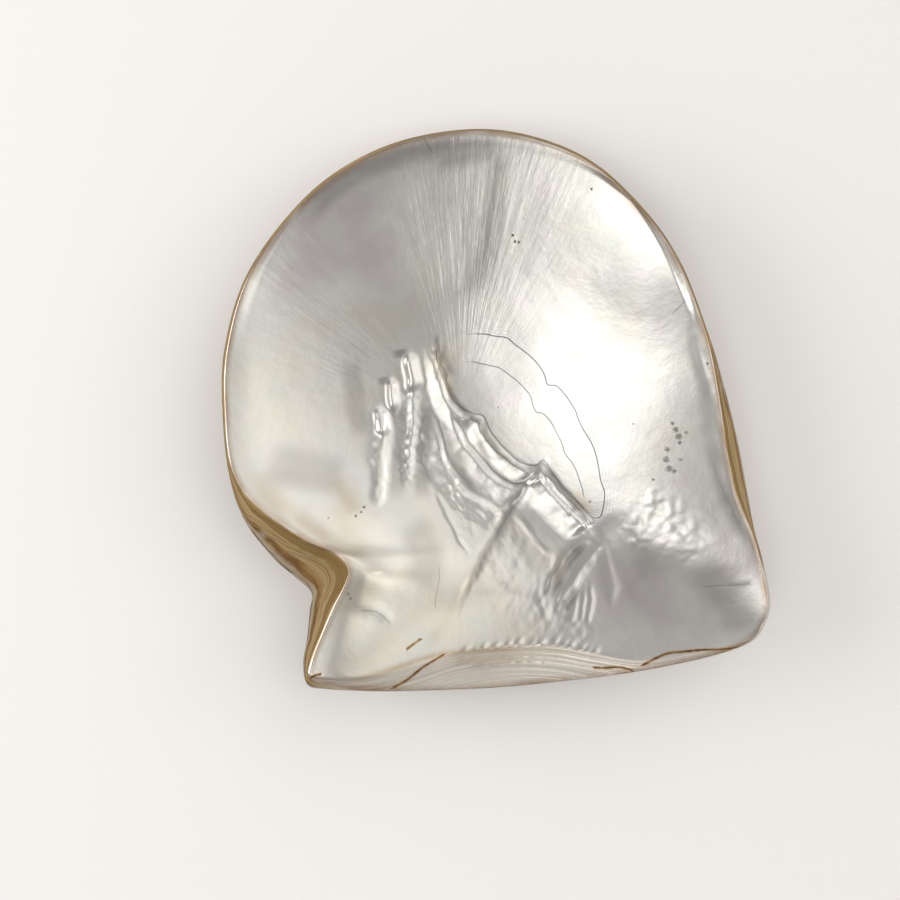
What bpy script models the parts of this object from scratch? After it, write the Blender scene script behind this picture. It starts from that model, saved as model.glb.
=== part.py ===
# One valve of a large pearl oyster, lying on its convex outside with the nacre up.
# Lengths are in millimetres until the last step, which turns them into metres. +Y runs from the hinge to
# the opposite margin, +X to the side away from the byssal notch, and +Z up out of the hollow.
import math

import bmesh
import bpy
import numpy as np

MM = 0.001
NAME = "valve"

# How many cells the mesh has along each side of the face, and how much closer they lie at the hinge.
CELLS = 44
HINGE_CROWDING = 0.22
SIDE_CROWDING = 0.10

# The hollow: its depth below the margin, and how the floor falls off towards each side.
INSIDE_DEPTH = 17.5
INSIDE_FALL = {"far": 1.55, "hinge": 0.95, "side": 1.15}
OUTSIDE_DEPTH = 18.4
OUTSIDE_FALL = {"far": 1.1, "hinge": 0.98, "side": 1.0}

# The ligament strip along the hinge slopes outwards from its crest by this much for each mm of width.
STRIP_SLOPE = 0.5

# How many degrees the valve leans when it lies balanced on its outside: down towards the margin opposite
# the hinge, and down towards the notch. A little is rubbed off where it touches.
LEAN_TO_FAR = 3.0
LEAN_TO_NOTCH = 1.0
RUBBED_OFF = 0.9

# Stations round the margin, anticlockwise from the ear at the notch:
# outer edge x, y, then nacre lip x, y, then the height of the edge below the lip.
HINGE_SIDE = [
    (-58.9, -85.2, -57.7, -82.2, 6.0),
    (-53.6, -86.8, -50.5, -84.9, 7.0),
    (-41.9, -87.6, -40.6, -86.6, 8.0),
    (-23.3, -87.6, -22.9, -86.8, 9.0),
    (-1.2, -87.0, -1.2, -86.2, 9.0),
    (20.8, -84.8, 20.5, -84.0, 8.0),
    (42.5, -81.5, 42.2, -80.8, 7.0),
    (64.5, -76.9, 64.2, -76.1, 5.0),
    (77.8, -72.2, 76.9, -71.5, 4.0),
]
SINUS_SIDE = [
    (82.8, -66.0, 81.5, -65.4, 3.5),
    (84.3, -58.6, 83.1, -58.6, 3.0),
    (82.2, -46.8, 80.9, -46.8, 3.4),
    (79.7, -36.9, 78.1, -37.5, 4.4),
    (77.5, -23.9, 73.2, -25.4, 6.2),
    (74.7, -9.0, 70.2, -10.8, 6.2),
    (70.4, 7.1, 67.7, 6.5, 4.4),
    (65.1, 24.2, 63.9, 23.9, 3.0),
    (55.5, 48.0, 54.6, 47.4, 2.6),
]
FAR_SIDE = [
    (41.5, 66.3, 40.8, 65.4, 2.5),
    (24.8, 79.5, 24.2, 78.4, 2.5),
    (1.5, 86.5, 1.5, 85.4, 2.5),
    (-21.7, 85.2, -21.5, 84.2, 2.5),
    (-41.9, 78.3, -41.2, 77.2, 2.5),
]
NOTCH_SIDE = [
    (-60.1, 65.1, -59.2, 64.2, 2.5),
    (-76.9, 42.8, -76.0, 42.2, 2.5),
    (-84.3, 18.9, -83.2, 18.6, 2.7),
    (-84.8, -2.8, -83.7, -2.8, 3.0),
    (-82.7, -21.4, -81.2, -19.5, 3.8),
    (-78.1, -34.7, -73.1, -30.0, 6.0),
    (-69.4, -46.2, -59.8, -39.7, 8.5),
    (-63.5, -51.5, -49.9, -44.2, 9.5),
    (-58.0, -56.7, -45.9, -50.2, 10.0),
    (-58.4, -62.3, -50.5, -60.5, 9.5),
    (-59.2, -71.0, -54.6, -69.8, 8.5),
    (-60.3, -78.7, -57.4, -77.2, 7.0),
]

# The edge falls from the lip to the outer edge in two growth steps: share of the way out, share of the fall.
EDGE_STEPS = [(0.0, 0.0), (0.14, 0.20), (0.42, 0.34), (0.58, 0.58), (0.86, 0.74), (1.0, 1.0)]

# The crest where the nacre ends and the ligament strip begins.
STRIP_CREST = [
    (-57.0, -81.6), (-44.9, -82.4), (-34.1, -81.0), (-23.3, -77.9), (-12.4, -74.6), (1.6, -72.4),
    (17.1, -72.4), (31.0, -74.6), (45.0, -76.2), (63.6, -73.6), (78.0, -70.4),
]

# Relief on the nacre. Each crest: its line, its height, and its width on the left and right of the line.
NACRE_CRESTS = [
    # the torn lower edge of the muscle scar
    ([(-19.2, 18.0), (-16.4, 9.6), (-13.0, 2.8), (-7.8, -0.6), (-4.0, -1.6), (-1.6, -6.5), (3.1, -12.1),
      (7.8, -16.1), (12.7, -17.1), (15.2, -15.5), (19.2, -21.4), (24.5, -27.0), (29.5, -32.9)], 1.3, 4.0, 2.4),
    # older edges of the scar, left behind as terraces
    ([(-14.9, 1.9), (-11.5, -5.3), (-6.5, -10.9), (-1.6, -15.8), (4.0, -21.4), (10.2, -23.6)], 0.9, 2.8, 2.2),
    ([(16.7, -23.6), (20.8, -28.5), (25.7, -33.8), (28.8, -38.1)], 0.8, 2.8, 2.2),
    ([(-20.2, 3.4), (-17.7, -9.0), (-14.0, -18.3), (-9.0, -27.6), (-4.0, -36.9), (-0.9, -42.5)], 1.0, 3.4, 2.6),
    ([(-22.0, -18.3), (-18.3, -30.7), (-13.3, -41.5), (-10.2, -49.3)], 0.8, 3.4, 2.8),
    # the track that the notch in the scar left on its way out from the hinge
    ([(14.9, -16.1), (7.8, -27.6), (0.0, -40.0), (-7.8, -52.4), (-15.5, -64.2), (-20.8, -72.5)], 1.0, 3.0, 2.4),
    # the row of small mantle scars and the fold below them
    ([(-28.2, 15.8), (-27.4, 11.0), (-26.7, 5.0)], 1.1, 2.4, 2.4),
    ([(-34.1, 9.3), (-33.4, 5.0), (-32.6, -0.3)], 1.0, 2.2, 2.2),
    ([(-37.8, 0.0), (-36.6, -7.0), (-37.5, -18.3), (-38.1, -30.7)], 1.0, 2.4, 2.4),
    # wrinkles above the ligament
    ([(31.0, -46.0), (24.0, -55.0), (17.0, -63.5)], 1.0, 2.4, 2.4),
    ([(30.5, -55.0), (28.5, -66.0)], 0.8, 2.2, 2.2),
    # the rounded fold that runs from the scar towards the far end of the hinge
    ([(36.0, -36.0), (44.0, -48.0), (56.0, -60.0)], 1.0, 7.0, 7.0),
    # the rolled lip above the byssal notch
    ([(-71.0, -27.0), (-57.0, -36.0), (-44.0, -43.0), (-41.0, -52.0)], 0.8, 4.5, 4.5),
]

# The beak that the growth steps of the outside spread from, and where each step lies on the way to the
# margin, as a share of that way.
BEAK = (-27.0, -80.0)
GROWTH_STEPS = [0.0, 0.16, 0.29, 0.40, 0.51, 0.60, 0.69, 0.77, 0.84, 0.905, 0.96]
GROWTH_STEP_HEIGHT = 1.1


def clear_scene():
    for thing in list(bpy.data.objects):
        bpy.data.objects.remove(thing, do_unlink=True)


def eased(low, high, value):
    """0 below low, 1 above high, and a smooth rise between them."""
    t = np.clip((value - low) / (high - low), 0.0, 1.0)
    return t * t * (3.0 - 2.0 * t)


def through(points, at, closed):
    """The smooth curve through the points, at positions counted in points from the first."""
    points = np.asarray(points, float)
    count = len(points)
    start = np.floor(at).astype(int)
    if not closed:
        start = np.clip(start, 0, count - 2)
    t = (at - start)[:, None]
    picks = [start + step for step in (-1, 0, 1, 2)]
    if closed:
        a, b, c, d = (points[pick % count] for pick in picks)
    else:
        a, b, c, d = (points[np.clip(pick, 0, count - 1)] for pick in picks)
    bend = 2 * a - 5 * b + 4 * c - d
    turn = 3 * b - a - 3 * c + d
    return 0.5 * (2 * b + (c - a) * t + bend * t**2 + turn * t**3)


class Margin:
    """The four sides of the margin, each read at shares of its length."""

    def __init__(self):
        sides = [HINGE_SIDE, SINUS_SIDE, FAR_SIDE, NOTCH_SIDE]
        self.stations = np.array([station for side in sides for station in side])
        self.corners = np.cumsum([0] + [len(side) for side in sides])

    def side(self, which, share):
        """Station values at shares of a side's length, counted anticlockwise."""
        index = np.linspace(self.corners[which], self.corners[which + 1], 400)
        line = through(self.stations, index, closed=True)
        steps = np.linalg.norm(np.diff(line[:, :2], axis=0), axis=1)
        length = np.concatenate([[0.0], np.cumsum(steps)])
        at = np.interp(share * length[-1], length, index)
        return through(self.stations, at, closed=True)

    def patch(self, u, v):
        """Station values inside the margin: the surface that the four sides span."""
        s = (u + 1) / 2
        t = (v + 1) / 2
        hinge = self.side(0, s)
        sinus = self.side(1, t)
        far = self.side(2, 1 - s)
        notch = self.side(3, 1 - t)
        s = s[:, None]
        t = t[:, None]
        corner = self.stations[self.corners[:4]]
        flat = (
            (1 - s) * (1 - t) * corner[0]
            + s * (1 - t) * corner[1]
            + s * t * corner[2]
            + (1 - s) * t * corner[3]
        )
        return (1 - t) * hinge + t * far + (1 - s) * notch + s * sinus - flat


def hollow(u, v, far, hinge, side):
    """0 at the margin and 1 at the deepest point. The greater a side's number, the flatter it starts."""
    deepest = (hinge - far) / (hinge + far)
    along = (1 - v) ** far * (1 + v) ** hinge
    most = (1 - deepest) ** far * (1 + deepest) ** hinge
    return along / most * (1 - u**2) ** side


def crest(x, y, line, height, left_width, right_width):
    """A rounded ridge along a line, with its own width on each side, that dies out at its ends."""
    path = through(line, np.linspace(0, len(line) - 1, 5 * len(line)), closed=False)
    nearest = np.full(len(x), 1e9)
    side = np.zeros(len(x))
    share = np.zeros(len(x))
    for i, (start, end) in enumerate(zip(path[:-1], path[1:])):
        way = end - start
        dx = x - start[0]
        dy = y - start[1]
        t = np.clip((dx * way[0] + dy * way[1]) / (way @ way), 0, 1)
        away = np.hypot(dx - t * way[0], dy - t * way[1])
        closer = away < nearest
        nearest = np.where(closer, away, nearest)
        side = np.where(closer, way[0] * dy - way[1] * dx, side)
        share = np.where(closer, (i + t) / (len(path) - 1), share)
    width = np.where(side > 0, left_width, right_width)
    fade = eased(0, 0.12, share) * eased(0, 0.12, 1 - share)
    return height * (0.35 + 0.65 * fade) * np.exp(-((nearest / width) ** 2))


def strip_fall(x, y, margin):
    """How far the ligament strip has fallen from its crest."""
    edge = margin.side(0, np.linspace(0, 1, 200))
    crest_line = through(STRIP_CREST, np.linspace(0, len(STRIP_CREST) - 1, 200), closed=False)
    crest_y = np.interp(x, crest_line[:, 0], crest_line[:, 1])
    edge_y = np.interp(x, edge[:, 2], edge[:, 3])
    wide = np.maximum(crest_y - edge_y, 0.5)
    across = np.clip((crest_y - y) / wide, 0, 1)
    return STRIP_SLOPE * wide * across**1.2


def inside_height(x, y, u, v, margin):
    floor = -INSIDE_DEPTH * hollow(u, v, **INSIDE_FALL)
    inland = eased(1.0, 0.93, np.maximum(np.abs(u), np.abs(v)))
    relief = sum(crest(x, y, *each) for each in NACRE_CRESTS)
    return floor + relief * inland - strip_fall(x, y, margin)


def growth_share(x, y, margin):
    """How far a point lies on the way from the beak to the margin."""
    rim = np.vstack([margin.side(side, np.linspace(0, 1, 100, endpoint=False)) for side in range(4)])
    rim_angle = np.arctan2(rim[:, 1] - BEAK[1], rim[:, 0] - BEAK[0])
    rim_reach = np.hypot(rim[:, 0] - BEAK[0], rim[:, 1] - BEAK[1])
    angle = np.arctan2(y - BEAK[1], x - BEAK[0])
    reach = np.interp(angle, rim_angle, rim_reach, period=2 * math.pi)
    wander = 0.010 * np.sin(5 * angle + 1.0) + 0.007 * np.sin(11 * angle)
    return np.hypot(x - BEAK[0], y - BEAK[1]) / reach + wander


def growth_relief(x, y, margin):
    """Overlapping growth steps: each thickens towards its own edge and ends there."""
    share = growth_share(x, y, margin)
    rise = np.zeros(len(x))
    for low, high in zip(GROWTH_STEPS[:-1], GROWTH_STEPS[1:]):
        inside = (share >= low) & (share < high)
        rise = np.where(inside, ((share - low) / (high - low)) ** 2, rise)
    return GROWTH_STEP_HEIGHT * rise * eased(1.0, 0.9, share)


def valve_points(u, v, w):
    """Where each point of the box -1 to 1 lies on the valve: w is 1 on the nacre and -1 on the outside."""
    margin = Margin()
    x_out, y_out, x_lip, y_lip, wall = margin.patch(u, v).T
    inside = inside_height(x_lip, y_lip, u, v, margin)
    edge_out = -strip_fall(x_lip, y_lip, margin) * eased(-0.75, -1.0, v) - wall
    floor = OUTSIDE_DEPTH * hollow(u, v, **OUTSIDE_FALL)
    within = eased(1.0, 0.95, np.maximum(np.abs(u), np.abs(v)))
    outside = edge_out - floor - growth_relief(x_out, y_out, margin) * within
    rows = np.linspace(0, 1, len(EDGE_STEPS))
    out_share = np.interp((1 - w) / 2, rows, [step[0] for step in EDGE_STEPS])
    fall_share = np.interp((1 - w) / 2, rows, [step[1] for step in EDGE_STEPS])
    return np.column_stack([
        x_lip + (x_out - x_lip) * out_share,
        y_lip + (y_out - y_lip) * out_share,
        inside + (outside - inside) * fall_share,
    ])


def laid_at_rest(points):
    """Leans the valve as it lies, rubs its lowest spot flat, and stands it on the ground about the origin."""
    a = -math.radians(LEAN_TO_FAR)
    b = -math.radians(LEAN_TO_NOTCH)
    about_x = np.array([[1, 0, 0], [0, math.cos(a), -math.sin(a)], [0, math.sin(a), math.cos(a)]])
    about_y = np.array([[math.cos(b), 0, math.sin(b)], [0, 1, 0], [-math.sin(b), 0, math.cos(b)]])
    points = points @ (about_y @ about_x).T
    ground = points[:, 2].min() + RUBBED_OFF
    points[:, 2] = np.maximum(points[:, 2], ground)
    low = points.min(axis=0)
    high = points.max(axis=0)
    return points - [(low[0] + high[0]) / 2, (low[1] + high[1]) / 2, ground]


def crowded(value, amount):
    """Moves the cells of -1 to 1 towards -1."""
    return value + amount * (value**2 - 1)


def valve_mesh():
    """A box with its faces cut into cells, and each of its points then set on the valve."""
    mesh = bmesh.new()
    bmesh.ops.create_cube(mesh, size=2)
    level = [e for e in mesh.edges if abs(e.verts[0].co.z - e.verts[1].co.z) < 1]
    bmesh.ops.subdivide_edges(mesh, edges=level, cuts=CELLS - 1, use_grid_fill=True)
    upright = [e for e in mesh.edges if abs(e.verts[0].co.z - e.verts[1].co.z) > 1]
    bmesh.ops.subdivide_edges(mesh, edges=upright, cuts=len(EDGE_STEPS) - 2, use_grid_fill=True)
    place = np.array([vert.co for vert in mesh.verts])
    u = crowded(place[:, 0], SIDE_CROWDING)
    v = crowded(place[:, 1], HINGE_CROWDING)
    points = laid_at_rest(valve_points(u, v, place[:, 2])) * MM
    for vert, point in zip(mesh.verts, points):
        vert.co = point
    bmesh.ops.triangulate(mesh, faces=mesh.faces)
    bmesh.ops.recalc_face_normals(mesh, faces=mesh.faces)
    data = bpy.data.meshes.new(NAME)
    mesh.to_mesh(data)
    mesh.free()
    return data


def nacre_material():
    material = bpy.data.materials.new("nacre")
    material.use_nodes = True
    shader = material.node_tree.nodes["Principled BSDF"]
    shader.inputs["Base Color"].default_value = (0.72, 0.70, 0.65, 1)
    shader.inputs["Roughness"].default_value = 0.28
    shader.inputs["Metallic"].default_value = 0.35
    return material


def main():
    clear_scene()
    collection = bpy.data.collections.new("pearl_oyster_valve")
    bpy.context.scene.collection.children.link(collection)
    data = valve_mesh()
    data.materials.append(nacre_material())
    data.shade_smooth()
    valve = bpy.data.objects.new(NAME, data)
    collection.objects.link(valve)


main()
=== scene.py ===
import math

import bpy
import numpy as np
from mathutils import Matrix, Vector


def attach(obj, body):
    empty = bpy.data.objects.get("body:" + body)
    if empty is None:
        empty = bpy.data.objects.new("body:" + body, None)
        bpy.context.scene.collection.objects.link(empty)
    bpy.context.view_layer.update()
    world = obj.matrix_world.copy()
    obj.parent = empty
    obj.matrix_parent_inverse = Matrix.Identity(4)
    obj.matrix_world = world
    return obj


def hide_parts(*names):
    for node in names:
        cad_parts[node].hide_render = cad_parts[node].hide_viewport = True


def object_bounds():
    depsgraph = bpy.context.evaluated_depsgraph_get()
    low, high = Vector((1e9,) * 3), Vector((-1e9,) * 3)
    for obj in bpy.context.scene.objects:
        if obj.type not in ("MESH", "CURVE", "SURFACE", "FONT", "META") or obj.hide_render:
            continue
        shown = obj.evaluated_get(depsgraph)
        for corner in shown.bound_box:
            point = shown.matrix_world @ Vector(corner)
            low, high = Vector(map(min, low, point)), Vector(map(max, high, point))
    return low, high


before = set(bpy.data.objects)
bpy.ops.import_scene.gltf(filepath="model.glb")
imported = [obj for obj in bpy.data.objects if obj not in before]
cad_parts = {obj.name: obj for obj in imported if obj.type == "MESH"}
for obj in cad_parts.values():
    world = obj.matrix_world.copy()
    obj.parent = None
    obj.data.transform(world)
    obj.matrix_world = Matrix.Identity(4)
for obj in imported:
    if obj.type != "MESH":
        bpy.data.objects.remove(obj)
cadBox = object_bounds()
mm = 0.001  # in metres

# The valve in mm, before it is laid down: +Y runs from the hinge to the far margin, +X away from the
# notch, +Z up out of the hollow. These sizes are the solid's own.
valve = {
    "cells": 200,  # along each side of the face
    "edgeRows": 16,  # down the edge
    # size of the cells at stations from -1 to 1, across and along: finer where the relief is fine
    "sideCells": [(-1.0, 1.2), (-0.5, 1.2), (-0.4, 0.68), (0.42, 0.68), (0.55, 1.2), (1.0, 1.2)],
    "lengthCells": [(-1.0, 0.62), (-0.8, 0.62), (-0.7, 0.75), (0.25, 0.75), (0.45, 1.6), (1.0, 1.6)],
    "insideDepth": 17.5,
    # how the floor falls off towards each side: a higher power is a longer slope
    "insideFall": {"far": 1.55, "hinge": 0.95, "side": 1.15},
    "outsideDepth": 18.4,
    "outsideFall": {"far": 1.1, "hinge": 0.98, "side": 1.0},
    "stripSlope": 0.5,  # fall of the ligament strip for each mm of its width
    "leanToFar": 3.0,  # degrees that the valve leans where it lies
    "leanToNotch": 1.0,
    "laidAt": (-0.3956, -0.7799, -24.7517),  # what the laid valve is moved by, to stand on the ground
}

# Stations round the margin: outer edge x, y, nacre lip x, y, height of the edge below the lip.
hingeSide = [
    (-58.9, -85.2, -57.7, -82.2, 6.0),
    (-53.6, -86.8, -50.5, -84.9, 7.0),
    (-41.9, -87.6, -40.6, -86.6, 8.0),
    (-23.3, -87.6, -22.9, -86.8, 9.0),
    (-1.2, -87.0, -1.2, -86.2, 9.0),
    (20.8, -84.8, 20.5, -84.0, 8.0),
    (42.5, -81.5, 42.2, -80.8, 7.0),
    (64.5, -76.9, 64.2, -76.1, 5.0),
    (77.8, -72.2, 76.9, -71.5, 4.0),
]
sinusSide = [
    (82.8, -66.0, 81.5, -65.4, 3.5),
    (84.3, -58.6, 83.1, -58.6, 3.0),
    (82.2, -46.8, 80.9, -46.8, 3.4),
    (79.7, -36.9, 78.1, -37.5, 4.4),
    (77.5, -23.9, 73.2, -25.4, 6.2),
    (74.7, -9.0, 70.2, -10.8, 6.2),
    (70.4, 7.1, 67.7, 6.5, 4.4),
    (65.1, 24.2, 63.9, 23.9, 3.0),
    (55.5, 48.0, 54.6, 47.4, 2.6),
]
farSide = [
    (41.5, 66.3, 40.8, 65.4, 2.5),
    (24.8, 79.5, 24.2, 78.4, 2.5),
    (1.5, 86.5, 1.5, 85.4, 2.5),
    (-21.7, 85.2, -21.5, 84.2, 2.5),
    (-41.9, 78.3, -41.2, 77.2, 2.5),
]
notchSide = [
    (-60.1, 65.1, -59.2, 64.2, 2.5),
    (-76.9, 42.8, -76.0, 42.2, 2.5),
    (-84.3, 18.9, -83.2, 18.6, 2.7),
    (-84.8, -2.8, -83.7, -2.8, 3.0),
    (-82.7, -21.4, -81.2, -19.5, 3.8),
    (-78.1, -34.7, -73.1, -30.0, 6.0),
    (-69.4, -46.2, -59.8, -39.7, 8.5),
    (-63.5, -51.5, -49.9, -44.2, 9.5),
    (-58.0, -56.7, -45.9, -50.2, 10.0),
    (-58.4, -62.3, -50.5, -60.5, 9.5),
    (-59.2, -71.0, -54.6, -69.8, 8.5),
    (-60.3, -78.7, -57.4, -77.2, 7.0),
]
# Crest where the nacre ends and the ligament strip begins: x, y.
stripCrest = [
    (-57.0, -81.6), (-44.9, -82.4), (-34.1, -81.0), (-23.3, -77.9), (-12.4, -74.6), (1.6, -72.4),
    (17.1, -72.4), (31.0, -74.6), (45.0, -76.2), (63.6, -73.6), (78.0, -70.4),
]

# Picture pixels to mm on the valve: mm for each pixel, and the pixel at the valve's own origin.
picture = {"scale": 0.31, "originX": 495.0, "originY": 411.0}


def fromPicture(line):
    return [((px - picture["originX"]) * picture["scale"], (picture["originY"] - py) * picture["scale"])
            for px, py in line]


# Terraces that the muscle left as it moved outwards. Each line is the foot of a step, in picture pixels,
# and the step rises to the right of the line: rise, width of the step, width of the slope behind it in mm.
terraces = [
    ([(431, 340), (436, 362), (446, 386), (457, 407), (476, 415), (482, 418), (489, 432), (507, 452),
      (526, 466), (545, 463)], 0.95, 2.1, 4.8),  # torn lower edge of the muscle scar
    ([(540, 460), (554, 478), (575, 501), (597, 524)], 0.55, 1.5, 2.2),
    ([(539, 470), (548, 484), (566, 505), (588, 528)], 1.05, 1.5, 7.4),
    ([(446, 396), (456, 424), (470, 447), (484, 463), (502, 479), (520, 483), (538, 470)], 0.85, 1.8, 7.0),
    ([(434, 410), (440, 440), (448, 466), (463, 487), (481, 500), (502, 512)], 0.85, 1.7, 6.6),
    ([(510, 515), (526, 532), (542, 550), (556, 556)], 0.30, 1.3, 6.0),
]

# Ridges on the nacre: line in picture pixels, rise, width to the left and to the right in mm.
ridges = [
    # track that the notch in the scar left on its way out from the hinge
    ([(545, 462), (530, 481), (511, 508), (497, 530), (481, 559), (466, 588), (455, 613)], -0.42, 1.3, 1.3),
    ([(434, 494), (446, 518), (458, 540), (466, 556)], 0.30, 0.8, 0.7),
    # row of small mantle scars and the fold below them
    ([(405, 354), (408, 370), (410, 392)], 1.15, 2.3, 1.5),
    ([(387, 380), (389, 393), (390, 412)], 0.95, 1.8, 1.3),
    ([(375, 408), (376, 420), (378, 436)], 0.85, 1.6, 1.2),
    ([(412, 388), (411, 420), (406, 455), (402, 486)], 0.55, 1.6, 1.3),
    ([(381, 412), (378, 445), (377, 480), (373, 512)], 0.95, 2.2, 2.4),
    # wrinkles above the ligament
    ([(584, 540), (566, 559), (554, 577), (540, 604)], 0.55, 1.1, 1.0),
    ([(598, 548), (582, 570), (570, 590), (556, 612)], 0.70, 1.2, 1.4),
    ([(592, 590), (590, 606), (588, 624)], 0.40, 0.8, 0.8),
    ([(584, 594), (582, 608), (580, 622)], 0.36, 0.8, 0.8),
    ([(576, 600), (573, 612), (569, 624)], 0.32, 0.8, 0.8),
    ([(538, 590), (539, 604), (545, 620)], 0.35, 1.0, 1.0),
    # rounded fold that runs from the scar towards the far end of the hinge
    ([(596, 524), (618, 548), (640, 575), (680, 612)], 0.55, 8.0, 7.0),
    ([(600, 536), (606, 556), (611, 580), (613, 604)], 0.30, 1.6, 2.2),
    # rolled lip above the byssal notch
    ([(258, 492), (300, 522), (340, 545), (362, 566), (360, 590)], 0.45, 5.5, 5.5),
    ([(352, 600), (374, 608), (390, 622)], 0.25, 1.2, 1.8),
    # soft swelling inside the margin on the sinus side
    ([(690, 330), (708, 385), (728, 450), (742, 520)], 0.45, 4.0, 2.2),
]


def eased(low, high, value):
    t = np.clip((value - low) / (high - low), 0.0, 1.0)
    return t * t * (3.0 - 2.0 * t)


def through(points, at, closed=False):
    # smooth curve through the points, at these places along their list
    points = np.asarray(points, float)
    count = len(points)
    start = np.floor(at).astype(int)
    if not closed:
        start = np.clip(start, 0, count - 2)
    t = (at - start)[:, None]
    picks = [start + step for step in (-1, 0, 1, 2)]
    picks = [pick % count if closed else np.clip(pick, 0, count - 1) for pick in picks]
    a, b, c, d = (points[pick] for pick in picks)
    bend = 2 * a - 5 * b + 4 * c - d
    turn = 3 * b - a - 3 * c + d
    return 0.5 * (2 * b + (c - a) * t + bend * t**2 + turn * t**3)


margin = np.array(hingeSide + sinusSide + farSide + notchSide)
cornerAt = np.cumsum([0] + [len(side) for side in (hingeSide, sinusSide, farSide, notchSide)])


def marginSide(which, share):
    index = np.linspace(cornerAt[which], cornerAt[which + 1], 400)
    line = through(margin, index, closed=True)
    steps = np.linalg.norm(np.diff(line[:, :2], axis=0), axis=1)
    length = np.concatenate([[0.0], np.cumsum(steps)])
    return through(margin, np.interp(share * length[-1], length, index), closed=True)


def marginPatch(u, v):
    # stations inside the four sides of the margin, from -1 to 1 both ways
    s = (u + 1) / 2
    t = (v + 1) / 2
    hinge = marginSide(0, s)
    sinus = marginSide(1, t)
    far = marginSide(2, 1 - s)
    notch = marginSide(3, 1 - t)
    s = s[:, None]
    t = t[:, None]
    corner = margin[cornerAt[:4]]
    flat = (1 - s) * (1 - t) * corner[0] + s * (1 - t) * corner[1]
    flat = flat + s * t * corner[2] + (1 - s) * t * corner[3]
    return (1 - t) * hinge + t * far + (1 - s) * notch + s * sinus - flat


def hollow(u, v, far, hinge, side):
    # 1 at the deepest place and 0 at the margin
    deepest = (hinge - far) / (hinge + far)
    along = (1 - v) ** far * (1 + v) ** hinge
    most = (1 - deepest) ** far * (1 + deepest) ** hinge
    return along / most * (1 - u**2) ** side


def lineField(x, y, line, reach):
    # which points are near a line, how far to the left of it, and their share of its length
    path = through(line, np.linspace(0, len(line) - 1, 5 * len(line)))
    low = path.min(axis=0) - reach
    high = path.max(axis=0) + reach
    near = np.flatnonzero((x > low[0]) & (x < high[0]) & (y > low[1]) & (y < high[1]))
    px = x[near]
    py = y[near]
    away = np.full(len(near), 1e9)
    side = np.ones(len(near))
    share = np.zeros(len(near))
    for i, (start, end) in enumerate(zip(path[:-1], path[1:])):
        way = end - start
        dx = px - start[0]
        dy = py - start[1]
        t = np.clip((dx * way[0] + dy * way[1]) / (way @ way), 0, 1)
        far = np.hypot(dx - t * way[0], dy - t * way[1])
        closer = far < away
        away = np.where(closer, far, away)
        side = np.where(closer, np.sign(way[0] * dy - way[1] * dx), side)
        share = np.where(closer, (i + t) / (len(path) - 1), share)
    return near, away * side, share


def addRidge(height, x, y, line, rise, left, right):
    near, across, share = lineField(x, y, line, 3 * max(left, right))
    fade = eased(0, 0.22, share) * eased(0, 0.22, 1 - share)
    width = np.where(across > 0, left, right) * (0.55 + 0.45 * fade)
    height[near] += rise * (0.25 + 0.75 * fade) * np.exp(-((across / width) ** 2))


def addTerrace(height, x, y, line, rise, step, shelf):
    near, across, share = lineField(x, y, line, 1.5 * (step + shelf))
    fade = eased(0, 0.22, share) * eased(0, 0.08, 1 - share)
    out = -across
    fall = np.clip(1 - (out - step) / (shelf * (0.4 + 0.6 * fade)), 0, 1)
    shape = eased(0, step, out) * (0.6 * fall + 0.4 * eased(0, 1, fall))
    length = np.hypot(*np.diff(line, axis=0).T).sum()
    hatch = wobble(share * length, 0.22 * out, 1.1, int(10 * rise))
    height[near] += rise * fade * shape * (1 + 0.16 * hatch * fall)


def wobble(x, y, size, seed):
    # smooth uneven heights from -1 to 1 over the face, with hills this many mm apart
    grid = np.random.default_rng(seed).uniform(-1, 1, (400, 400))
    gx = x / size + 200
    gy = y / size + 200
    i = np.floor(gx).astype(int)
    j = np.floor(gy).astype(int)
    s = eased(0, 1, gx - i)
    t = eased(0, 1, gy - j)
    low = grid[i, j] * (1 - s) + grid[i + 1, j] * s
    high = grid[i, j + 1] * (1 - s) + grid[i + 1, j + 1] * s
    return low * (1 - t) + high * t


def stripAcross(x, y):
    edge = marginSide(0, np.linspace(0, 1, 200))
    crestLine = through(stripCrest, np.linspace(0, len(stripCrest) - 1, 200))
    crestY = np.interp(x, crestLine[:, 0], crestLine[:, 1])
    edgeY = np.interp(x, edge[:, 2], edge[:, 3])
    wide = np.maximum(crestY - edgeY, 0.5)
    return wide, (crestY - y) / wide


def stripFall(x, y):
    wide, across = stripAcross(x, y)
    return valve["stripSlope"] * wide * np.clip(across, 0, 1) ** 1.2


# Crumbly nacre beside the mantle scars and the scar's left end: line, rise, grain and width in mm.
crumbs = [
    ([(412, 385), (410, 430), (404, 488)], 0.20, 1.5, 4.2),
    ([(372, 440), (374, 480), (376, 512)], 0.12, 1.6, 2.5),
    ([(440, 335), (434, 360), (446, 392)], 0.22, 1.4, 1.8),
    ([(560, 500), (580, 530), (596, 552)], 0.10, 1.7, 3.0),
    ([(470, 500), (500, 530), (520, 560)], 0.12, 2.4, 7.0),
    ([(470, 565), (515, 590), (560, 628)], 0.15, 2.3, 8.0),
    ([(440, 470), (458, 505), (470, 540)], 0.12, 1.5, 4.0),
    ([(625, 545), (650, 520), (668, 500)], 0.10, 1.6, 5.0),
    ([(540, 600), (565, 620), (590, 640)], 0.16, 1.9, 4.5),
    ([(640, 500), (668, 520), (700, 560)], 0.12, 1.8, 7.0),
]

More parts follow.
